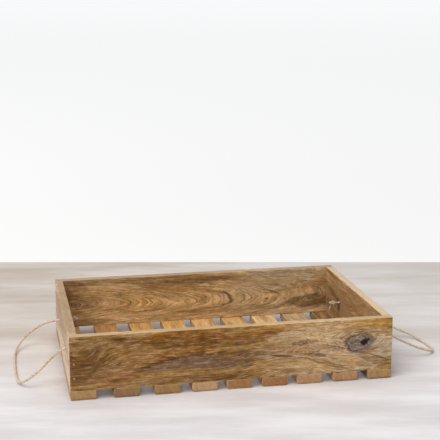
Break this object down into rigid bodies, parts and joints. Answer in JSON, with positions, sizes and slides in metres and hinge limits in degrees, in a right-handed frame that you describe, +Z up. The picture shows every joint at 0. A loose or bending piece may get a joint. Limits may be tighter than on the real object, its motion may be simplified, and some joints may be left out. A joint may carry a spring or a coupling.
{
  "type": "slatted crate tray",
  "caption": "Shallow open wooden crate tray with a slatted base and a knotted cord loop handle through each end.",
  "frame": {"origin": "centre of the footprint, on the underside of the middle base slat, at table level", "axes": "+X along the long side to the right, +Y from the front board to the back board, +Z up"},
  "size_m": [0.5551, 0.262, 0.0795],
  "materials": {
    "mango_board": "waxed mango wood, satin",
    "mango_end_board": "waxed mango wood, satin",
    "mango_slat": "planed mango wood, satin",
    "jute_cord": "two-ply twisted jute",
    "brad_steel": "bright wire"
  },
  "bodies": {
    "tray": {"front_board": "mango_board", "back_board": "mango_board", "left_end_board": "mango_end_board", "right_end_board": "mango_end_board", "base_slat_1": "mango_slat", "base_slat_2": "mango_slat", "base_slat_3": "mango_slat", "base_slat_4": "mango_slat", "base_slat_5": "mango_slat", "base_slat_6": "mango_slat", "base_slat_7": "mango_slat", "base_slat_8": "mango_slat", "base_slat_9": "mango_slat", "corner_brads": "brad_steel", "slat_brads": "brad_steel"},
    "left_cord_ends": {"left_front_knot": "jute_cord", "left_back_knot": "jute_cord"},
    "left_loop": {"left_cord_loop": "jute_cord"},
    "right_cord_ends": {"right_front_knot": "jute_cord", "right_back_knot": "jute_cord"},
    "right_loop": {"right_cord_loop": "jute_cord"}
  },
  "joints": [
    {"name": "left_cord_pull", "type": "slide", "parent": "tray", "child": "left_cord_ends", "axis": [-1, 0, 0], "range_m": [0, 0.003]},
    {"name": "left_loop_swing", "type": "hinge", "parent": "left_cord_ends", "child": "left_loop", "pos_m": [-0.2022, 0, 0.045], "axis": [0, 1, 0], "range_deg": [-50, 122]},
    {"name": "right_cord_pull", "type": "slide", "parent": "tray", "child": "right_cord_ends", "axis": [1, 0, 0], "range_m": [0, 0.003]},
    {"name": "right_loop_swing", "type": "hinge", "parent": "right_cord_ends", "child": "right_loop", "pos_m": [0.2022, 0, 0.045], "axis": [0, -1, 0], "range_deg": [-58, 112]}
  ]
}
